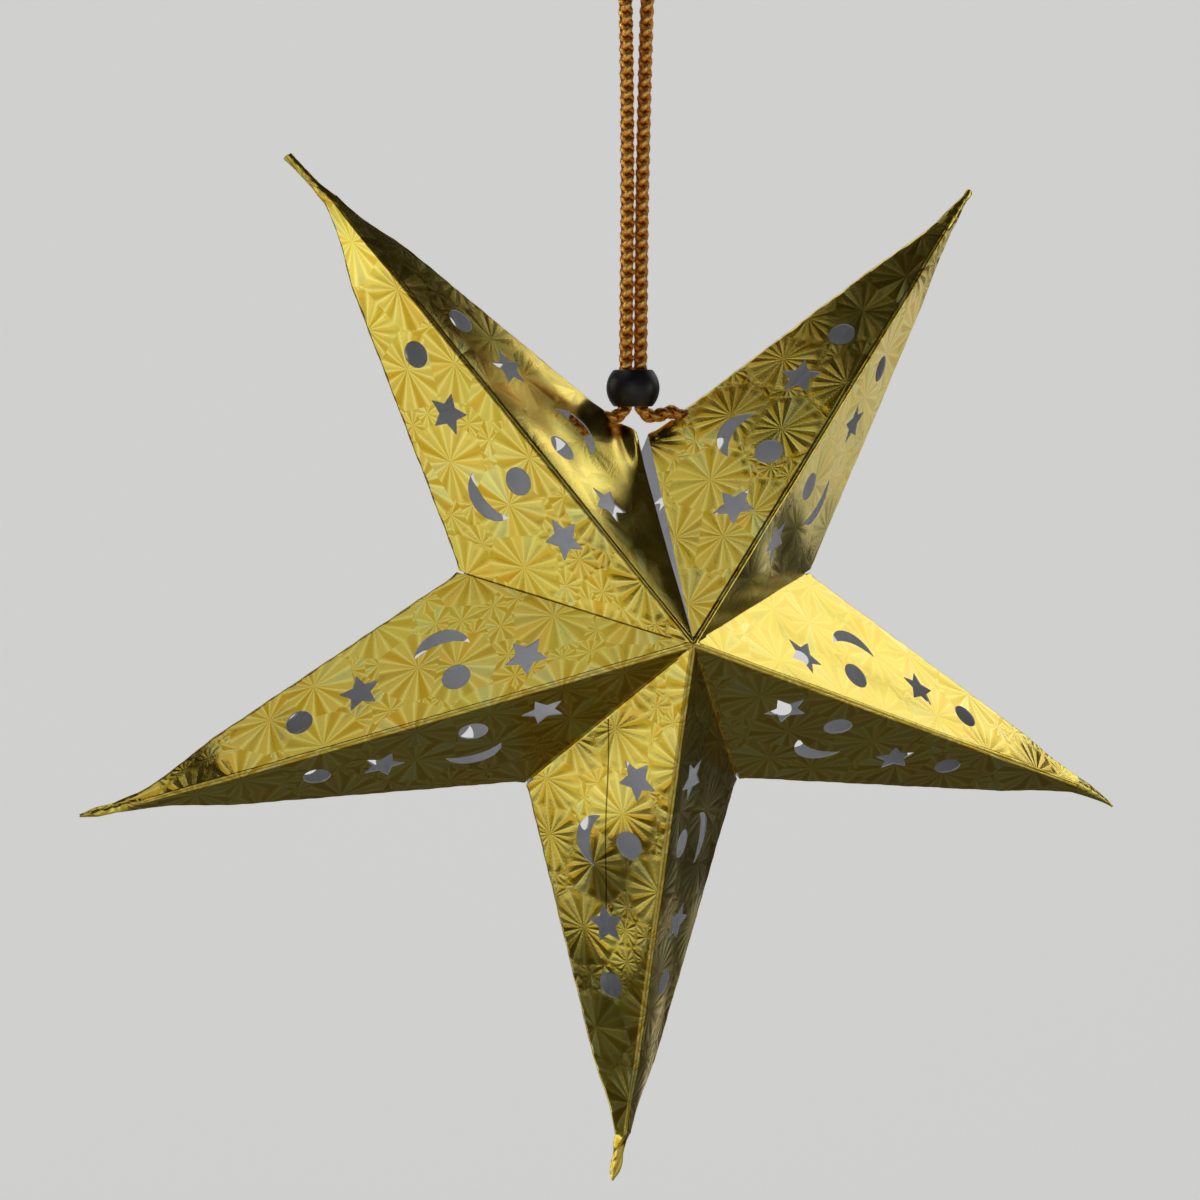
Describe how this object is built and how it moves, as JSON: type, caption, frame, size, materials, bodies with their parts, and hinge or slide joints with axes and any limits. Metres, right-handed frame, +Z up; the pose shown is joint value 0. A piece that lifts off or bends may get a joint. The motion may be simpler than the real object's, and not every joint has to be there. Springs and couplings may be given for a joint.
{
  "type": "paper star lantern",
  "caption": "Folding paper star lantern of embossed gold foil card, punched with dots, stars and moons, hung by a doubled gold cord with a locking bead.",
  "frame": {"origin": "where a hook carries the cord's loop, above the star's centre of gravity", "axes": "+Z up along the plumb line, -Y to the star's front, +X to the right seen from the front"},
  "size_m": [0.2881, 0.0974, 0.3613],
  "materials": {
    "foil_card": "embossed gold foil outside, white card inside",
    "bead": "satin black",
    "cord": "knitted gold metallic yarn"
  },
  "bodies": {
    "root": {"arm_sheet_upper_right": "foil_card", "arm_sheet_right": "foil_card", "arm_sheet_bottom": "foil_card", "arm_sheet_left": "foil_card", "arm_sheet_upper_left": "foil_card", "locking_bead": "bead", "hanging_cord": "cord", "cord_knot_right": "cord", "cord_knot_left": "cord"}
  },
  "joints": []
}
